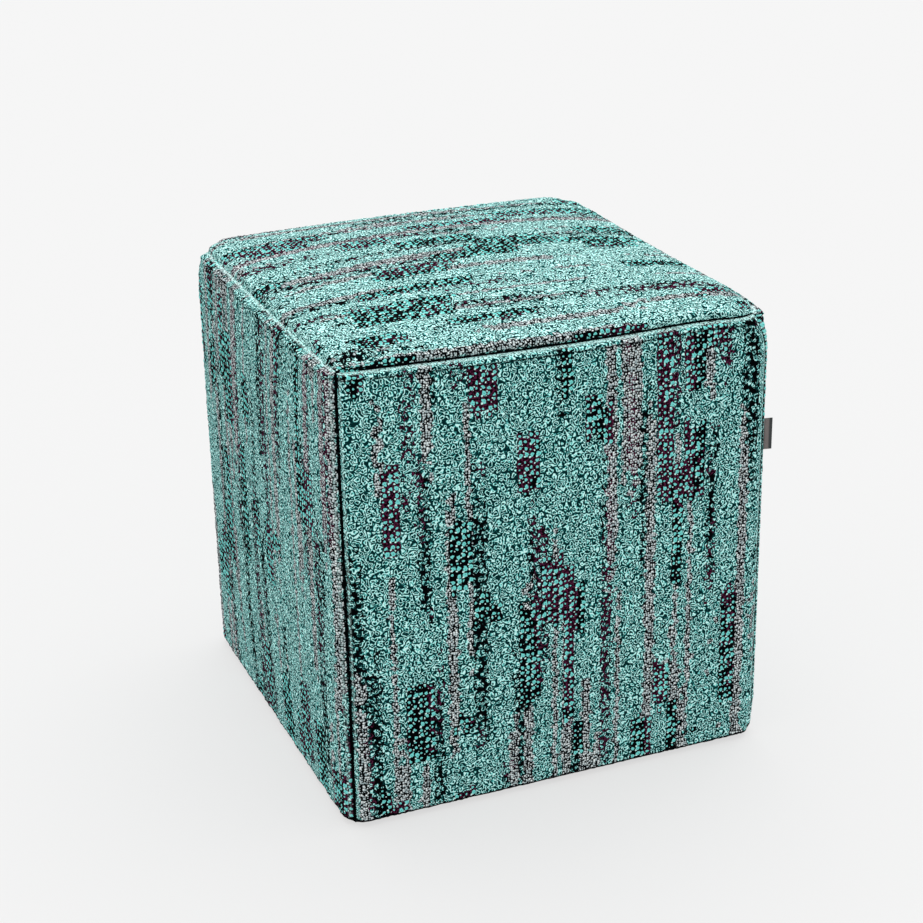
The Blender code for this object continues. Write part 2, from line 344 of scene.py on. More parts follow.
def side_points(side, across, height):
    """Points on a side panel, at -1 to 1 across it and 0 to 1 up it."""
    right = np.cross(UP, side.out)
    top = SEAM_HEIGHT - seam_sag(side, across)
    spots = side.out * HALF + right * (across * HALF)[..., None]
    spots[..., 2] = BASE_SEAM + (top - BASE_SEAM) * height
    from_base, from_top = height * SEAM_HEIGHT, (1 - height) * SEAM_HEIGHT
    from_left, from_right = (1 + across) * HALF, (1 - across) * HALF
    edge = shoulder_rise(np.minimum(from_left, from_right), SHOULDER)
    full = edge * shoulder_rise(from_base, SHOULDER_BASE) * shoulder_rise(from_top, SHOULDER_TOP)
    for pull in CORNER_PULLS:
        full = full * (1 - pull.taper * np.exp(-(corner_distance(pull, spots) / TAPER_REACH) ** 2))
    belly = (1 - across ** 4) * (1 - (2 * height - 1) ** 4)
    lap = fade(from_top, LAP, LAP + STITCH_WIDTH) * (1 - fade(from_top, 0, SHOULDER_TOP / 2))
    groove = hump(from_top - LAP, 2 * STITCH_WIDTH)
    seam_work = (LAP_RISE * lap - STITCH_GROOVE * groove) * edge
    stand = SHOULDER_RISE * full + BELLY * belly + seam_work
    points = settled(spots + side.out * stand[..., None])
    seed = 10 * side.out[0] + 3 * side.out[1]
    seams = ((right, from_right, UPRIGHT_TUCK), (-right, from_left, UPRIGHT_TUCK),
        (UP, from_top, side.tuck))
    points = points + tucked(side.out, seams, spots[..., 2])
    points = points + UP * (side.lip * edge * np.exp(-(from_top / LIP_REACH) ** 2))[..., None]
    for along, distance, turn in ((spots[..., 2], from_right, 1), (spots[..., 2], from_left, 2),
                                  (across * HALF, from_top, 3), (across * HALF, from_base, 4)):
        points = points + puckered(side.out, along, distance, seed + turn) * edge[..., None]
    upright = np.minimum(from_left, from_right)
    from_stitch = np.abs(from_top - STITCH_LINE)
    # shade is painted shade: in the upright seams, above the floor and in the stitches' groove
    return points, {
        "from_seam": np.minimum.reduce((upright, from_top, from_base, 2 * from_stitch)),
        "shade": np.maximum.reduce((fade(upright, SEAM_DARK / 2, SEAM_DARK),
                                    fade(from_base, 0.7 * BASE_DARK, BASE_DARK),
                                    GROOVE_DARK * fade(from_stitch, STITCH_WIDTH / 4, STITCH_WIDTH))),
        # fold is a painted highlight along the side's top edge and beside its upright seams
        "fold": np.maximum(TOP_PALE * fade(from_top, side.fold / 2, side.fold),
                           UPRIGHT_PALE * fade(np.abs(upright - HIGHLIGHT_LINE), *HIGHLIGHT_WIDTH)),
    }


def crease_depth(x, y):
    depth = 0
    for crease in CREASES:
        dx, dy = x - crease.x, y - crease.y
        along = dx * cos(crease.turn) + dy * sin(crease.turn)
        off = dy * cos(crease.turn) - dx * sin(crease.turn)
        depth = depth + crease.depth * np.exp(-(along / crease.half_length) ** 2
            - (off / crease.half_width) ** 2)
    return depth


def corner_fold(x, y):
    """The arc by the near left corner: how far off its line, and 1 along it to 0 past its ends."""
    off = np.stack((x, y), -1) - FOLD_MIDDLE
    away = np.linalg.norm(off, axis=-1)
    return np.abs(away - FOLD_RADIUS), 1 - fade(off @ FOLD_FACING / np.maximum(away, 1e-6), *FOLD_ENDS)


def top_points(across, back):
    """Points on the top panel, at -1 to 1 along X and along Y."""
    front, right, rear, left = SIDES
    front_share, right_share = (1 - back) / 2, (1 + across) / 2
    sag = front_share * seam_sag(front, across) + (1 - front_share) * seam_sag(rear, across)
    sag = sag + right_share * seam_sag(right, back) + (1 - right_share) * seam_sag(left, back)
    spots = np.stack((across * HALF, back * HALF, SEAM_HEIGHT - sag), -1)
    rise, roll, neighbours, shades = 1, 0, [], []
    for side in SIDES:
        distance = HALF - spots @ side.out
        rise = rise * edge_rise(distance, side.radius)
        lip = side.roll * np.sin(pi * np.minimum(distance, LIP_WIDTH) / LIP_WIDTH)
        roll = roll + side.out * lip[..., None]
        neighbours.append((side.out, distance, side.tuck))
        # painted shade in each seam, under the top panel's rolled edge
        shades.append(fade(distance, side.dark / 2, side.dark))
    dome = (1 - across ** 2) * (1 - back ** 2)
    from_fold, folded = corner_fold(spots[..., 0], spots[..., 1])
    sunk = crease_depth(spots[..., 0], spots[..., 1]) * rise
    sunk = sunk + FOLD_DEPTH * folded * np.exp(-(from_fold / FOLD_WIDTH) ** 2)
    spots[..., 2] += CROWN_LIFT * rise + CROWN * dome - sunk
    points = settled(spots + roll * rise[..., None])
    points = points + tucked(UP, neighbours, spots[..., 2])
    for side, (out, distance, _) in zip(SIDES, neighbours):
        along = spots @ np.cross(UP, out)
        points = points + puckered(UP, along, distance, 40 + side.radius * 900)
    # By the near left corner the front seam's painted shade gives way to painted shade along the fold's
    # arc
    shades[0] = shades[0] * (1 - fade(spots[..., 0] - FOLD_MIDDLE[0], -FOLD_SOFT, FOLD_SOFT))
    shades.append(folded * fade(from_fold, FOLD_WIDTH / 2, 2 * FOLD_WIDTH))
    return points, {
        "from_seam": np.minimum.reduce([distance for _, distance, _ in neighbours]),
        "shade": np.maximum.reduce(shades),
        "fold": np.zeros_like(across),
    }


def base_points(across, back):
    """Points on the base panel: flat on the floor, turned up at its edge."""
    nearest = HALF * (1 - np.maximum(np.abs(across), np.abs(back)))
    shift = SEAM_GAP / sqrt(2)
    height = shift + (BASE_SEAM - shift) * (1 - ellipse_rise(nearest, BASE_TURN))
    return np.stack((across * HALF, back * HALF, height), -1)


def spaced(length):
    """Places from 0 to 1 along a panel, closer together by its seams."""
    fine = np.linspace(0, length, 4001)
    step = CLOTH_STEP - (CLOTH_STEP - EDGE_STEP) * np.exp(-np.minimum(fine, length - fine) / STEP_REACH)
    count = np.concatenate(((0,), np.cumsum((1 / step[1:] + 1 / step[:-1]) / 2 * length / 4000)))
    return np.interp(np.linspace(0, count[-1], round(count[-1]) + 1), count, fine) / length


def flat_lengths(points):
    """How far along the cloth each column and row of a grid lies, in metres."""
    lengths = []
    for axis in (1, 0):
        middle = np.take(points, points.shape[1 - axis] // 2, axis=1 - axis)
        steps = np.linalg.norm(np.diff(middle, axis=0), axis=-1)
        lengths.append(np.concatenate(((0,), np.cumsum(steps))))
    return lengths


def grid_quads(rows, columns):
    index = np.arange(rows * columns).reshape(rows, columns)
    return np.stack((index[:-1, :-1], index[:-1, 1:], index[1:, 1:], index[1:, :-1]), -1).reshape(-1, 4)


def swelled(points):
    """How far the filling pushes out a panel's cloth, whose seams hold, by cloth simulation."""
    rows, columns = points.shape[:2]
    mesh = bpy.data.meshes.new("filled cloth")
    mesh.from_pydata(points.reshape(-1, 3).tolist(), [], grid_quads(rows, columns).tolist())
    cloth = bpy.data.objects.new("filled cloth", mesh)
    scene = bpy.context.scene
    scene.collection.objects.link(cloth)
    seam = np.ones((rows, columns), bool)
    seam[HELD:-HELD, HELD:-HELD] = False
    cloth.vertex_groups.new(name="seam").add(np.flatnonzero(seam).tolist(), 1.0, "REPLACE")
    filling = cloth.modifiers.new("filling", "CLOTH")
    filling.point_cache.frame_start, filling.point_cache.frame_end = 1, FILL_FRAMES
    filling.settings.vertex_group_mass = "seam"
    filling.settings.use_pressure = True
    filling.settings.uniform_pressure_force = FILL_PRESSURE
    filling.settings.effector_weights.gravity = 0
    filling.settings.tension_stiffness = CLOTH_STIFFNESS
    filling.settings.compression_stiffness = CLOTH_STIFFNESS
    for frame_number in range(1, FILL_FRAMES + 1):
        scene.frame_set(frame_number)
    depsgraph = bpy.context.evaluated_depsgraph_get()
    ends = np.zeros(rows * columns * 3)
    cloth.evaluated_get(depsgraph).data.vertices.foreach_get("co", ends)
    scene.frame_set(1)
    bpy.data.objects.remove(cloth)
    bpy.data.meshes.remove(mesh)
    moved = ends.reshape(points.shape) - points
    length = np.linalg.norm(moved, axis=-1, keepdims=True)
    return moved * np.minimum(1, FILL_CAP / np.maximum(length, FILL_CAP))


def spread(values, across, up):
    """Values of an even grid, read at places from 0 to 1 across and up it."""
    for axis, places in ((1, across), (0, up)):
        even = np.linspace(0, 1, values.shape[axis])
        values = np.apply_along_axis(lambda line: np.interp(places, even, line), axis, values)
    return values


def filled(shape, across, up):
    """A panel's points and marks at -1 or 0 to 1 across and up it, with its cloth filled out."""
    points, marks = shape(*np.meshgrid(across, up))
    low, high = (across[0], up[0]), (across[-1], up[-1])
    coarse, _ = shape(*np.meshgrid(*[np.linspace(a, b, FILL_GRID) for a, b in zip(low, high)]))
    shares = [(places - a) / (b - a) for places, a, b in zip((across, up), low, high)]
    return points + spread(swelled(coarse), *shares), marks


def lay_flat(mesh, flat):
    """Gives a mesh the UV map "cloth", from where each point lies on the flat cloth."""
    corners = np.zeros(len(mesh.loops), np.int32)
    mesh.loops.foreach_get("vertex_index", corners)
    layer = mesh.uv_layers.new(name="cloth")
    layer.uv.foreach_set("vector", flat[corners].astype(np.float32).ravel())


def panel_mesh(name, points, marks, out, turned, shift):
    """A closed panel: its cloth as a fine grid, with mitred sides to the pouf's middle.

    marks are values at its points, for its material and its relief. turned lays the
    pattern's streaks along the grid's rows, and shift moves it."""
    rows, columns = points.shape[:2]
    points = points + out * (SEAM_GAP / sqrt(2))
    middle = MIDDLE + out * (SEAM_GAP / sqrt(2))
    index = np.arange(rows * columns).reshape(rows, columns)
    quads = grid_quads(rows, columns)
    rim = np.concatenate((index[0, :-1], index[:-1, -1], index[-1, :0:-1], index[:0:-1, 0]))
    fans = np.stack((np.roll(rim, -1), rim, np.full(len(rim), rows * columns)), -1)
    corners = np.concatenate((quads.ravel(), fans.ravel()))
    sizes = np.concatenate((np.full(len(quads), 4), np.full(len(fans), 3)))
    mesh = bpy.data.meshes.new(name)
    mesh.vertices.add(rows * columns + 1)
    mesh.vertices.foreach_set("co", np.concatenate((points.reshape(-1, 3), middle[None])).ravel())
    mesh.loops.add(len(corners))
    mesh.loops.foreach_set("vertex_index", corners)
    mesh.polygons.add(len(sizes))
    mesh.polygons.foreach_set("loop_start", np.concatenate(((0,), np.cumsum(sizes)[:-1])))
    mesh.update(calc_edges=True)
    mesh.shade_smooth()

    along_columns, along_rows = flat_lengths(points)
    cloth = np.stack(np.meshgrid(along_columns, along_rows), -1).reshape(-1, 2)
    cloth = cloth[:, ::-1] if turned else cloth
    lay_flat(mesh, np.concatenate((cloth, cloth.mean(0)[None])) + shift)
    for mark, values in marks.items():
        attribute = mesh.attributes.new(mark, "FLOAT", "POINT")
        attribute.data.foreach_set("value", np.append(values, 0).astype(np.float32))
    return mesh


def add_piece(name, mesh, finish):
    mesh.materials.append(finish)
    piece = bpy.data.objects.new(name, mesh)
    bpy.context.scene.collection.objects.link(piece)
    return piece


def settle_modifiers(piece):
    """Turns a piece's evaluated modifiers into its plain mesh."""
    depsgraph = bpy.context.evaluated_depsgraph_get()
    plain = bpy.data.meshes.new_from_object(piece.evaluated_get(depsgraph), depsgraph=depsgraph,
        preserve_all_data_layers=True)
    plain.name = piece.name
    piece.modifiers.clear()
    piece.data = plain
    return piece


# ---- the woven cloth

def weave_fields(tree, cloth, weave):
    """The weave at a place in the flat cloth, for its colour and for its relief.

    Returns nodes and sockets. bars, speckle, plum and grey are 1 inside those streaks. dots,
    crumbs and packed are shares of a loop's radius, 1 at its rim. strand runs from
    -1 in the gaps of the curled yarn to 1 on its strands."""
    add = partial(node, tree)
    # A little warp keeps the loops' columns from a printed look
    wander = add("TexNoise", {"Vector": cloth, "Scale": WANDER_RATE, "Detail": 1.0},
        noise_dimensions="2D")
    off = add("VectorMath", [wander.outputs["Color"], (0.5, 0.5, 0.5)], operation="SUBTRACT")
    warped = add("VectorMath", [off, WANDER, cloth], operation="MULTIPLY_ADD")
    eased = add("VectorMath", [off, GRID_WANDER, cloth], operation="MULTIPLY_ADD")
    grid = add("VectorMath", [eased, weave["open_rate"]], operation="MULTIPLY")
    loops = add("TexVoronoi", {"Vector": grid, "Scale": 1.0, "Randomness": LOOP_UNEVEN},
        voronoi_dimensions="2D")
    between = add("VectorMath", [grid, (1.0, 1.0, 0), (0.5, 0.5, 0)], operation="MULTIPLY_ADD")
    small = add("TexVoronoi", {"Vector": between, "Scale": 1.0, "Randomness": CRUMB_UNEVEN},
        voronoi_dimensions="2D")
    tight = add("VectorMath", [eased, weave["tight_rate"]], operation="MULTIPLY")
    knots = add("TexVoronoi", {"Vector": tight, "Scale": 1.0, "Randomness": PACKED_UNEVEN},
        voronoi_dimensions="2D")

    # Streaks are chosen loop by loop, so their ends step from column to column
    fields = {}
    for streak in STREAKS:
        cells = {"open": loops, "tight": knots}[streak.loops]
        whole = add("VectorMath", [cells.outputs["Position"]], operation="FLOOR")
        part = add("SeparateXYZ", [whole])
        chance = add("TexWhiteNoise", {"W": part.outputs["X"]}, noise_dimensions="1D")
        band = add("Math", [part.outputs["X"], streak.group_rate, streak.start], operation="MULTIPLY_ADD")
        group = add("TexVoronoi", {"W": band, "Scale": 1.0, "Randomness": 1.0}, voronoi_dimensions="1D")
        band_parts = add("SeparateXYZ", [group.outputs["Color"]])
        run = add("Math", [chance.outputs["Value"], streak.slide, part.outputs["Y"]],
            operation="MULTIPLY_ADD")
        spot = add("CombineXYZ", {"X": band_parts, "Y": run})
        place = add("VectorMath", [spot, (GROUP_APART, streak.run_rate, 0),
            (streak.start, streak.start * 1.7, 0)], operation="MULTIPLY_ADD")
        field = add("TexNoise", {"Vector": place, "Scale": 1.0, "Detail": 0.0}, noise_dimensions="2D")
        lone = add("SeparateXYZ", [cells.outputs["Color"]])
        bias = add("Math", [lone.outputs[1], streak.ragged, -streak.ragged / 2], operation="MULTIPLY_ADD")
        lean = add("Math", [band_parts.outputs[1], 2 * GROUP_LEAN, -GROUP_LEAN], operation="MULTIPLY_ADD")
        biased = add("Math", [field, bias], operation="ADD")
        total = add("Math", [biased, lean], operation="ADD")
        fields[streak.name] = add("Math", [total, streak.level], operation="GREATER_THAN")

    # The loops that show in the streaks, and the crumbs between them
    fuzz = add("TexNoise", {"Vector": cloth, "Scale": FIBRE_RATE, "Detail": 1.0}, noise_dimensions="2D")
    uneven = add("Math", [fuzz, FIBRE_EDGE[0], FIBRE_EDGE[1]], operation="MULTIPLY_ADD")
    for name, cells, laid, least, more in (
            ("dots", loops, grid, weave["open_loop"], LOOP_MORE),
            ("crumbs", small, between, weave["open_loop"] * CRUMB_SHARE, CRUMB_MORE),
            ("packed", knots, tight, weave["tight_loop"], PACKED_MORE)):
        random = add("SeparateXYZ", [cells.outputs["Color"]])
        reach = add("Math", [random, more, least], operation="MULTIPLY_ADD")
        away = add("VectorMath", [laid, cells.outputs["Position"]], operation="SUBTRACT")
        real = add("VectorMath", [away, weave[name + "_size"]], operation="MULTIPLY")
        distance = add("VectorMath", [real], operation="LENGTH")
        share = add("Math", [distance, reach], operation="DIVIDE")
        fields[name] = add("Math", [share, uneven], operation="MULTIPLY")
    fields["fuzz"] = fuzz
    fields["threads"] = add("SeparateXYZ", [fuzz.outputs["Color"]]).outputs[2]

    # The plain cloth's curled yarn: rings round scattered centres, bent by noise
    curl = add("TexVoronoi", {"Vector": warped, "Scale": weave["curl_rate"], "Randomness": 1.0},
        voronoi_dimensions="2D")
    bend = add("TexNoise", {"Vector": warped, "Scale": BEND_RATE, "Detail": 0.0}, noise_dimensions="2D")
    phase = add("Math", [bend, CURL_BEND], operation="MULTIPLY")
    rings = add("Math", [curl.outputs["Distance"], CURL_TURNS, phase], operation="MULTIPLY_ADD")
    fields["strand"] = add("Math", [rings], operation="SINE")
    fields["loop"] = curl.outputs["Distance"]
    return fields


def cover_finish(weave, colours):
    """Looped boucle weave, woven on a black ground: matt curled teal yarn, with painted highlights
    where it catches light on top of each loop and painted shade down to the black ground in the gaps."""
    finish, add = new_finish("looped boucle weave")
    cloth = add("UVMap", uv_map="cloth")
    fields = weave_fields(finish.node_tree, cloth, weave)

    # The ground is black, with plum threads among it in the plum streaks
    open_work = add("Math", [fields["speckle"], fields["bars"]], operation="MAXIMUM")
    plum = add("Math", [fields["plum"], open_work], operation="MULTIPLY")
    threads = add("MapRange", [fields["threads"], *PLUM_THREADS, 0.0, plum])
    ground = add("Mix", {0: threads, 6: colours["gap"], 7: colours["plum"]}, data_type="RGBA")

    # Curled yarn: a gap, the teal side of the strand, then its mint top: the black ground, painted shade
    # down the strand's side and a painted highlight on its top
    steep = add("Math", [fields["strand"], STRAND_SHARE], operation="MULTIPLY")
    yarn = add("Math", [fields["fuzz"], FIBRE_SHARE, steep], operation="MULTIPLY_ADD")
    # The panel's painted light in the gaps between the curls
    closed = add("Attribute", attribute_name="closed").outputs["Fac"]
    gap_lit_yarn = add("Math", [closed, GAP_LIGHT_SHARE, yarn], operation="MULTIPLY_ADD")
    back = add("ValToRGB", [add("MapRange", [gap_lit_yarn, *YARN_DEPTH])])
    stops = back.color_ramp.elements
    for place, name in YARN_STOPS:
        stops.new(place).color = colours[name]
    stops.remove(stops[0])
    stops.remove(stops[-1])
    strands = add("MapRange", [yarn, *YARN_EDGE])

    # Half open streaks: the same yarn, in packed loops with the ground between them
    packed = add("MapRange", [fields["packed"], 1 - PACKED_EDGE, 1 + PACKED_EDGE, 1.0, 0.0],
        interpolation_type="SMOOTHSTEP")
    packed = add("Mix", {0: fields["speckle"], 2: 1.0, 3: packed}, data_type="FLOAT")
    shows = add("Math", [strands, packed], operation="MULTIPLY")
    plain = add("Mix", {0: packed, 6: ground, 7: back}, data_type="RGBA")

    # Each loop in the bars: mid teal inside, and a painted mint highlight where it turns over to the
    # light
    shown = {}
    for name, edge in (("dots", LOOP_EDGE), ("crumbs", CRUMB_EDGE)):
        shown[name] = add("MapRange", [fields[name], 1 - edge, 1 + edge, 1.0, 0.0],
            interpolation_type="SMOOTHSTEP")
    loop_fill = add("MapRange", [fields["dots"], 0.0, 0.5])
    loop_colour = add("Mix", {0: loop_fill, 6: colours["teal"], 7: colours["mint"]}, data_type="RGBA")
    crumbs = add("Mix", {0: shown["crumbs"], 6: ground, 7: colours["crumb"]}, data_type="RGBA")
    bars = add("Mix", {0: shown["dots"], 6: crumbs, 7: loop_colour}, data_type="RGBA")

    # Grey streaks: fine beads of two pale yarns, some sunk out of the light
    beads = add("TexVoronoi", {"Vector": cloth, "Scale": weave["bead_rate"], "Randomness": BEAD_UNEVEN},
        voronoi_dimensions="2D")
    bead_parts = add("SeparateXYZ", [beads.outputs["Color"]])
    bead_reach = add("Math", [bead_parts, BEAD_MORE, BEAD_LEAST], operation="MULTIPLY_ADD")
    bead_share = add("Math", [beads.outputs["Distance"], bead_reach], operation="DIVIDE")
    bead = add("MapRange", [bead_share, 1 - BEAD_EDGE, 1 + BEAD_EDGE, 1.0, 0.0])
    bead_colour = add("Mix", {0: bead_parts.outputs[1], 6: colours["grey"], 7: colours["pink"]},
        data_type="RGBA")
    grey = add("Mix", {0: bead, 6: ground, 7: bead_colour}, data_type="RGBA")

    cover = add("Mix", {0: fields["grey"], 6: plain, 7: grey}, data_type="RGBA")
    cover = add("Mix", {0: fields["bars"], 6: cover, 7: bars}, data_type="RGBA")

    # Painted highlights along the folded edges, broken up in places, and painted shade down in the seams
    fold = add("Attribute", attribute_name="fold").outputs["Fac"]
    painted_highlight = add("MapRange", [fields["threads"], *HIGHLIGHT_THREADS, 0.0, fold])
    cover = add("Mix", {0: painted_highlight, 6: cover, 7: colours["crumb"]}, data_type="RGBA")
    shade = add("Attribute", attribute_name="shade").outputs["Fac"]
    uneven = add("Math", [fields["threads"], DARK_UNEVEN, shade], operation="MULTIPLY_ADD")
    shade = add("MapRange", [uneven, *DARK_EDGE])
    cover = add("Mix", {0: shade, 6: cover, 7: colours["gap"]}, data_type="RGBA")

    # Relief too fine for the mesh
    height = add("Mix", {0: fields["grey"], 2: shows, 3: bead}, data_type="FLOAT")
    height = add("Mix", {0: fields["bars"], 2: height, 3: shown["dots"]}, data_type="FLOAT")
    bump = add("Bump", {"Height": height, "Strength": 0.6, "Distance": 0.0006})
    surface(finish, 0.9, cover, bump, specular=0.02)
    return finish


def start_tree(name, *sizes):
    """Starts a Geometry Nodes tree that has an input for each size and one for its finish."""
    tree = bpy.data.node_groups.new(name, "GeometryNodeTree")
    sockets = tree.interface
    sockets.new_socket("Geometry", in_out="INPUT", socket_type="NodeSocketGeometry")
    for size in sizes:
        sockets.new_socket(size, in_out="INPUT", socket_type="NodeSocketFloat")
    sockets.new_socket("Finish", in_out="INPUT", socket_type="NodeSocketMaterial")
    sockets.new_socket("Geometry", in_out="OUTPUT", socket_type="NodeSocketGeometry")
    add = partial(node, tree)
    return tree, add, add("NodeGroupInput").outputs


def end_tree(tree, made, given, piece, sizes):
    """Ends a tree with what it made, in its finish, and gives it to a piece with its sizes."""
    add = partial(node, tree)
    real = add("GeometryNodeRealizeInstances", [made])
    covered = add("GeometryNodeSetMaterial", {"Geometry": real, "Material": given["Finish"]})
    add("NodeGroupOutput", [covered])
    modifier = piece.modifiers.new(tree.name, "NODES")
    modifier.node_group = tree
    inputs = {socket.name: socket.identifier for socket in tree.interface.items_tree
        if socket.in_out == "INPUT"}
    modifier[inputs["Finish"]] = piece.data.materials[0]
    for name, size in sizes.items():
        modifier[inputs[name]] = size


def raise_loops(piece, weave, height):
    """Raises the cloth's loops by Geometry Nodes, from the same fields as its colour."""
    tree, add, given = start_tree("cloth relief", "Loop Height")
    cloth = add("GeometryNodeInputNamedAttribute", {"Name": "cloth"}, data_type="FLOAT_VECTOR")
    fields = weave_fields(tree, cloth, weave)
    plain = add("MapRange", [fields["loop"], *CURL_RELIEF], interpolation_type="SMOOTHSTEP")
    dots = add("MapRange", [fields["dots"], *LOOP_RELIEF], interpolation_type="SMOOTHSTEP")
    share = add("Mix", {0: fields["bars"], 2: plain, 3: dots}, data_type="FLOAT")
    # Flat by the seams, so that the loops of two panels don't meet
    seam = add("GeometryNodeInputNamedAttribute", {"Name": "from_seam"}, data_type="FLOAT")
    clear = add("MapRange", [seam, *FLAT_EDGE], interpolation_type="SMOOTHSTEP")
    lift = add("Math", [share, given["Loop Height"]], operation="MULTIPLY")
    faded = add("Math", [lift, clear], operation="MULTIPLY")
    normal = add("GeometryNodeInputNormal")
    move = add("VectorMath", {0: normal, "Scale": faded}, operation="SCALE")
    placed = add("GeometryNodeSetPosition", {"Geometry": given["Geometry"], "Offset": move})
    end_tree(tree, placed, given, piece, {"Loop Height": height})


def lay_stitches(piece, sizes):
    """Lays stitches along a piece's edges by Geometry Nodes."""
    tree, add, given = start_tree("stitches", *sizes)
    path = add("GeometryNodeMeshToCurve", {"Mesh": given["Geometry"]})
    spots = add("GeometryNodeResampleCurve", {"Curve": path, "Length": given["Pitch"]}, mode="LENGTH")
    along = add("GeometryNodeInputTangent")
    turned = add("FunctionNodeAlignRotationToVector", {"Vector": along}, axis="X")
    length = add("FunctionNodeRandomValue", {"Min": 0.92, "Max": 1.04, "Seed": 3}, data_type="FLOAT")
    stretched = add("Math", [given["Stitch"], length], operation="MULTIPLY")
    size = add("CombineXYZ", {"X": stretched, "Y": given["Thread"], "Z": given["Thread"]})
    bead = add("GeometryNodeMeshUVSphere", {"Segments": 8, "Rings": 6, "Radius": 0.5})
    laid = add("GeometryNodeInstanceOnPoints", {"Points": spots, "Instance": bead, "Rotation": turned,
        "Scale": size})
    end_tree(tree, add("GeometryNodeSetShadeSmooth", [laid]), given, piece, sizes)


def weave_settings(weave):
    return {
        "open_rate": (1 / weave.open_column, 1 / weave.open_row, 1),
        "open_loop": weave.open_loop,
        "dots_size": (weave.open_column, weave.open_row, 0),
        "crumbs_size": (weave.open_column, weave.open_row, 0),
        "tight_rate": (1 / weave.tight_column, 1 / weave.tight_row, 1),
        "tight_loop": weave.tight_loop,
        "packed_size": (weave.tight_column, weave.tight_row, 0),
        "curl_rate": 1 / weave.curl,
        "bead_rate": 1 / weave.bead,
    }


def cover_material():
    made = bpy.data.materials.get("looped boucle weave")
    if made:
        return made
    weave = bpy.context.scene.pouf_weave
    names = ("gap", "deep", "teal_dark", "teal", "mint", "crumb", "plum", "grey", "pink")
    return cover_finish(weave_settings(weave), {name: (*getattr(weave, name), 1) for name in names})


def stand_in(piece, node_name):
    """Puts a piece in the place of a plain solid."""
    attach(piece, "root")
    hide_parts(node_name)


def finish_panel(piece, node_name):
    weave = bpy.context.scene.pouf_weave
    raise_loops(piece, weave_settings(weave), weave.loop_height)
    settle_modifiers(piece)
    stand_in(piece, node_name)


# ---- sizes and colours

def length_property(name, description, metres):
    return bpy.props.FloatProperty(name=name, description=description, default=metres, unit="LENGTH")


def colour_property(name, description, hex_colour):
    return bpy.props.FloatVectorProperty(name=name, description=description, subtype="COLOR", size=3,
        min=0, max=1, default=linear(hex_colour))


class PoufWeave(bpy.types.PropertyGroup):
    """The cover cloth's weave and its colours"""
    open_column: length_property("Open Column", "From loop to loop across an open bar", 0.0054)
    open_row: length_property("Open Row", "From loop to loop along an open bar", 0.0060)
    open_loop: length_property("Open Loop", "Least radius of a loop in an open bar", 0.0008)
    tight_column: length_property("Tight Column", "From loop to loop across a speckled streak", 0.0048)
    tight_row: length_property("Tight Row", "From loop to loop along a speckled streak", 0.0054)
    tight_loop: length_property("Tight Loop", "Least radius of a loop in a speckled streak", 0.0016)
    curl: length_property("Curl", "Size of a curled loop in the plain cloth", 0.0052)
    bead: length_property("Bead", "From bead to bead in a grey streak", 0.0022)
    loop_height: length_property("Loop Height", "How far loops stand out of the ground", 0.0008)
    gap: colour_property("Gap", "Black ground between the loops", "#020305")
    # The yarn is teal on a black ground; deep and teal_dark are it in painted shade, mint is a painted
    # highlight where a loop turns over, and crumb is pale specks and a painted highlight on the curls'
    # tops
    deep: colour_property("Deep Teal", "Yarn deep between the curls", "#042729")
    teal_dark: colour_property("Dark Teal", "Yarn in the shade of a curl", "#0f5856")
    teal: colour_property("Teal", "The looped yarn", "#3d9391")
    mint: colour_property("Mint", "Yarn where a loop turns over", "#7cdfd9")
    crumb: colour_property("Crumb", "Pale specks and the tops of curls", "#d6fffb")
    plum: colour_property("Plum", "Plum ground", "#4f1b37")
    grey: colour_property("Grey", "Beads in the grey streaks", "#f2fbfb")
    pink: colour_property("Pink", "Pinkish beads in the grey streaks", "#a2b6ba")


class PoufTrim(bpy.types.PropertyGroup):
    """Stitches, label and base"""
    stitch: length_property("Stitch", "Length of a stitch that shows", 0.0034)
    stitch_pitch: length_property("Stitch Pitch", "From one stitch to the next", 0.0046)
    thread: length_property("Thread", "Diameter of the stitching thread", 0.0009)
    thread_colour: colour_property("Thread Colour", "Colour of the stitching thread", "#c4dedb")
    label_fold: length_property("Label Height", "Height of the folded label", 0.030)
    label_colour: colour_property("Label", "Label tape", "#857a78")
    label_edge: colour_property("Label Edge", "Label tape at its fold", "#3b3e3f")
    base_colour: colour_property("Base", "Base cloth", "#23282a")


KEY_FROM = Vector((0.35, 0.55, 1.6))     # above, and a little behind and to the right
SENSOR = 36                              # width of the camera's sensor, in mm


class PoufStage(bpy.types.PropertyGroup):
    """Floor, light and camera"""
    floor: colour_property("Floor", "Pale floor", "#7c7c7c")
    glow: bpy.props.FloatProperty(name="Floor Glow", description="Light through the floor, which "
        "fills its shadows", default=0.645)
    lens: bpy.props.FloatProperty(name="Lens", description="Focal length for a 36 mm sensor, in mm",
        default=79.136)
    azimuth: bpy.props.FloatProperty(name="Azimuth", description="Camera to the right of the front",
        default=radians(-21.875), subtype="ANGLE")
    elevation: bpy.props.FloatProperty(name="Elevation", description="Camera above the floor's plane",
        default=radians(22.503), subtype="ANGLE")
    roll: bpy.props.FloatProperty(name="Roll", description="Camera turned about its view",
        default=radians(-1.193), subtype="ANGLE")
    distance: length_property("Distance", "Camera to its aim", 1.9663)
    aim: bpy.props.FloatVectorProperty(name="Aim", description="Point that the camera looks at",
        default=(-0.0097, 0, 0.2450), subtype="TRANSLATION")
    sky: bpy.props.FloatProperty(name="Sky", description="Light from all round", default=0.82)
    key: bpy.props.FloatProperty(name="Key", description="Soft light from above", default=1.85)
    softness: bpy.props.FloatProperty(name="Softness", description="How wide the key light is",
        default=radians(70), subtype="ANGLE")


# ---- pieces

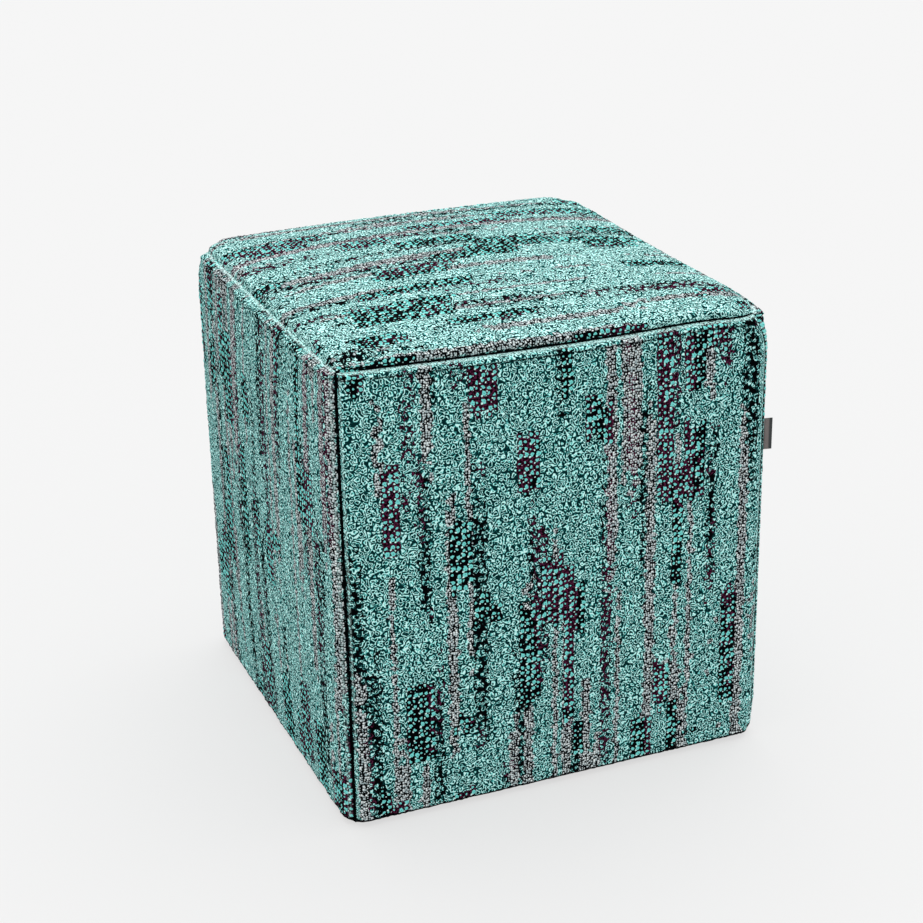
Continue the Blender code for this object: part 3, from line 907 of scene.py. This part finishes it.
class POUF_OT_side_panels(bpy.types.Operator):
    """The four side panels of the cover"""
    bl_idname = "pouf.side_panels"
    bl_label = "Side Panels"

    def execute(self, context):
        across = 2 * spaced(2 * HALF) - 1
        up = spaced(SEAM_HEIGHT)
        for side in SIDES:
            points, marks = filled(partial(side_points, side), across, up)
            # the painted light in the gaps between its curls
            marks["closed"] = np.full(len(up) * len(across), GAP_LIGHT[side.name])
            mesh = panel_mesh(f"cover_{side.name}", points, marks, side.out, False,
                np.array(PATTERN_START[side.name]))
            piece = add_piece(f"cover_{side.name}", mesh, cover_material())
            finish_panel(piece, f"{side.name}_panel")
        return {"FINISHED"}


class POUF_OT_top_panel(bpy.types.Operator):
    """The crowned top panel, its streaks from left to right"""
    bl_idname = "pouf.top_panel"
    bl_label = "Top Panel"

    def execute(self, context):
        across = 2 * spaced(2 * HALF) - 1
        points, marks = filled(top_points, across, across)
        # the painted light in the gaps between its curls
        marks["closed"] = np.full(len(across) ** 2, GAP_LIGHT["top"])
        mesh = panel_mesh("cover_top", points, marks, UP, True, np.array(PATTERN_START["top"]))
        piece = add_piece("cover_top", mesh, cover_material())
        finish_panel(piece, "top_panel")
        return {"FINISHED"}


class POUF_OT_topstitches(bpy.types.Operator):
    """Stitches along the lapped band under the top seam, laid by Geometry Nodes"""
    bl_idname = "pouf.topstitches"
    bl_label = "Topstitches"

    def execute(self, context):
        trim = context.scene.pouf_trim
        # Twisted polyester sewing thread: a slight sheen, and darker between its turns
        finish, add = new_finish("twisted polyester sewing thread")
        place = add("TexCoord").outputs["Object"]
        turns = add("TexWave", {"Vector": place, "Scale": THREAD_TURNS, "Distortion": 1.0},
            bands_direction="DIAGONAL")
        colour = add("Mix", {0: turns.outputs["Fac"], 6: dimmed(trim.thread_colour, 0.6),
            7: dimmed(trim.thread_colour)}, data_type="RGBA")
        bump = add("Bump", {"Height": turns.outputs["Fac"], "Strength": 0.4, "Distance": 0.0001})
        surface(finish, 0.5, colour, bump)

        across = np.linspace(-STITCH_ENDS, STITCH_ENDS, 241)
        up = np.full((1, len(across)), 1 - STITCH_LINE / SEAM_HEIGHT)
        spots, edges = [], []
        for side in SIDES:
            first = len(spots)
            line, _ = side_points(side, across[None], up)
            spots += (line[0] + side.out * (SEAM_GAP / sqrt(2))).tolist()
            edges += [(i, i + 1) for i in range(first, len(spots) - 1)]
        mesh = bpy.data.meshes.new("topstitches")
        mesh.from_pydata(spots, edges, [])
        piece = add_piece("topstitches", mesh, finish)
        lay_stitches(piece, {"Stitch": trim.stitch, "Pitch": trim.stitch_pitch, "Thread": trim.thread})
        settle_modifiers(piece)
        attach(piece, "root")
        return {"FINISHED"}


class POUF_OT_base_panel(bpy.types.Operator):
    """The plain base panel"""
    bl_idname = "pouf.base_panel"
    bl_label = "Base Panel"

    def execute(self, context):
        trim = context.scene.pouf_trim
        # Plain woven polyester, matt, its threads just seen as a fine check
        finish, add = new_finish("plain woven base cloth")
        cloth = add("UVMap", uv_map="cloth")
        threads = []
        for turn in ((0, 0, 0), (0, 0, pi / 2)):
            laid = add("Mapping", {"Vector": cloth, "Rotation": turn})
            wave = add("TexWave", {"Vector": laid, "Scale": BASE_THREADS, "Distortion": 1.0})
            threads.append(wave.outputs["Fac"])
        weave = add("Math", [threads[0], threads[1]], operation="MULTIPLY")
        colour = add("Mix", {0: weave, 6: dimmed(trim.base_colour, 0.5), 7: dimmed(trim.base_colour)},
            data_type="RGBA")
        bump = add("Bump", {"Height": weave, "Strength": 0.4, "Distance": 0.0003})
        surface(finish, 0.8, colour, bump)
        across = np.linspace(-1, 1, 121)
        points = base_points(*np.meshgrid(across, across))
        mesh = panel_mesh("base_cloth", points[:, ::-1], {}, -UP, False, np.zeros(2))
        piece = add_piece("base_cloth", mesh, finish)
        stand_in(piece, "base_panel")
        return {"FINISHED"}


class POUF_OT_label(bpy.types.Operator):
    """The folded label in the front right seam"""
    bl_idname = "pouf.label"
    bl_label = "Label"

    def execute(self, context):
        trim = context.scene.pouf_trim
        # Plain woven cotton tape: faint ribs across it, and darker where it is folded
        finish, add = new_finish("plain woven tape")
        cloth = add("UVMap", uv_map="cloth")
        wave = add("TexWave", {"Vector": cloth, "Scale": TAPE_RIBS, "Distortion": 2.0},
            bands_direction="Y")
        place = add("SeparateXYZ", [cloth])
        off_fold = add("Math", [place], operation="ABSOLUTE")
        edge = add("MapRange", {"Value": off_fold, "From Min": 0.0022, "From Max": 0.0036})
        colour = add("Mix", {0: edge, 6: dimmed(trim.label_edge), 7: dimmed(trim.label_colour)},
            data_type="RGBA")
        dim = add("MapRange", {"Value": wave.outputs["Fac"], "To Min": 0.7, "To Max": 1.0})
        shaded = add("Mix", {0: 1.0, 6: colour, 7: dim}, data_type="RGBA", blend_type="MULTIPLY")
        bump = add("Bump", {"Height": wave.outputs["Fac"], "Strength": 0.5, "Distance": 0.0002})
        surface(finish, 0.75, shaded, bump)

        # The tape's middle line: out from the seam, round the fold and back
        layer = LABEL_THICK * LAYER_SHARE
        turn_from = LABEL_REACH - LABEL_THICK * FOLD_SHARE
        turns = np.linspace(-pi / 2, pi / 2, 7)
        out = np.linspace(LABEL_ROOT, turn_from, 6)
        reach = np.concatenate((out[:-1], turn_from + layer * np.cos(turns), out[-2::-1]))
        aside = np.concatenate((np.full(5, -layer), layer * np.sin(turns), np.full(5, layer)))
        along = np.concatenate(((0,), np.cumsum(np.hypot(np.diff(reach), np.diff(aside)))))
        seam = settled(np.array((HALF, -HALF, LABEL_MIDDLE)))
        away = np.array((cos(LABEL_TURN), -sin(LABEL_TURN), 0))
        normal = np.array((sin(LABEL_TURN), cos(LABEL_TURN), 0))
        heights = np.linspace(-0.5, 0.5, 25) * trim.label_fold
        share = (reach - LABEL_ROOT) / (LABEL_REACH - LABEL_ROOT)
        points = seam + away * reach[None, :, None] + normal * aside[None, :, None]
        points = points + UP * (heights[:, None] + LABEL_SLIP * share[None, :])[..., None]
        rows, columns = points.shape[:2]
        mesh = bpy.data.meshes.new("side_label")
        mesh.from_pydata(points.reshape(-1, 3).tolist(), [], grid_quads(rows, columns).tolist())
        mesh.shade_smooth()
        lay_flat(mesh, np.stack(np.meshgrid(along - along[-1] / 2, heights), -1).reshape(-1, 2))
        piece = add_piece("side_label", mesh, finish)
        solid = piece.modifiers.new("tape", "SOLIDIFY")
        solid.thickness = LABEL_THICK * TAPE_SHARE
        solid.offset = 0
        settle_modifiers(piece)
        stand_in(piece, "label")
        return {"FINISHED"}


class POUF_OT_stage(bpy.types.Operator):
    """Plain floor, soft studio light and the camera"""
    bl_idname = "pouf.stage"
    bl_label = "Stage"

    def execute(self, context):
        stage = context.scene.pouf_stage
        bpy.ops.mesh.primitive_plane_add(size=40)
        floor = context.object
        floor.name = "studio_floor"
        # Matt backdrop paper, without any gloss, lit through so that shadows on it stay pale
        finish, _ = new_finish("matt pale paper")
        shader = surface(finish, 1.0, dimmed(stage.floor), specular=0.0)
        shader.inputs["Emission Color"].default_value = (1, 1, 1, 1)
        shader.inputs["Emission Strength"].default_value = stage.glow
        floor.data.materials.append(finish)

        world = bpy.data.worlds.new("studio")
        context.scene.world = world
        world.use_nodes = True
        sky = world.node_tree.nodes["Background"]
        sky.inputs["Color"].default_value = (1, 1, 1, 1)
        sky.inputs["Strength"].default_value = stage.sky
        lamp = bpy.data.lights.new("key", "SUN")
        lamp.energy = stage.key
        lamp.angle = stage.softness
        key = bpy.data.objects.new("key", lamp)
        context.scene.collection.objects.link(key)
        key.rotation_euler = KEY_FROM.to_track_quat("Z", "Y").to_euler()

        data = bpy.data.cameras.new("camera")
        data.lens = stage.lens
        data.sensor_width = SENSOR
        camera = bpy.data.objects.new("camera", data)
        context.scene.collection.objects.link(camera)
        back = Vector((sin(stage.azimuth) * cos(stage.elevation),
            -cos(stage.azimuth) * cos(stage.elevation), sin(stage.elevation)))
        right = (-back).cross(Vector((0, 0, 1))).normalized()
        above = right.cross(-back)
        turned = cos(stage.roll) * right + sin(stage.roll) * above
        above = cos(stage.roll) * above - sin(stage.roll) * right
        camera.matrix_world = Matrix.Translation(Vector(stage.aim) + back
            * stage.distance) @ Matrix((turned, above, back)).transposed().to_4x4()
        context.scene.camera = camera
        context.scene.view_settings.view_transform = "Standard"
        return {"FINISHED"}


class POUF_PT_panel(bpy.types.Panel):
    """Sizes, colours and makers of the cube pouf stool"""
    bl_idname = "POUF_PT_panel"
    bl_label = "Cube Pouf Stool"
    bl_space_type = "VIEW_3D"
    bl_region_type = "UI"
    bl_category = "Pouf"

    def draw(self, context):
        for title, group in (("Weave", context.scene.pouf_weave), ("Trim", context.scene.pouf_trim),
                             ("Stage", context.scene.pouf_stage)):
            box = self.layout.box()
            box.label(text=title)
            for name in group.__annotations__:
                box.prop(group, name)
        for maker in MAKERS:
            self.layout.operator(maker.bl_idname)


MAKERS = (POUF_OT_stage, POUF_OT_top_panel, POUF_OT_side_panels, POUF_OT_topstitches, POUF_OT_base_panel,
    POUF_OT_label)
GROUPS = (("pouf_weave", PoufWeave), ("pouf_trim", PoufTrim), ("pouf_stage", PoufStage))


def register():
    for name, group in GROUPS:
        bpy.utils.register_class(group)
        setattr(bpy.types.Scene, name, bpy.props.PointerProperty(type=group))
    for maker in (*MAKERS, POUF_PT_panel):
        bpy.utils.register_class(maker)


def unregister():
    for maker in reversed((*MAKERS, POUF_PT_panel)):
        bpy.utils.unregister_class(maker)
    for name, group in reversed(GROUPS):
        delattr(bpy.types.Scene, name)
        bpy.utils.unregister_class(group)


def main():
    register()
    bpy.ops.pouf.stage()
    bpy.ops.pouf.top_panel()
    bpy.ops.pouf.side_panels()
    bpy.ops.pouf.topstitches()
    bpy.ops.pouf.base_panel()
    bpy.ops.pouf.label()


if __name__ == "__main__":
    main()
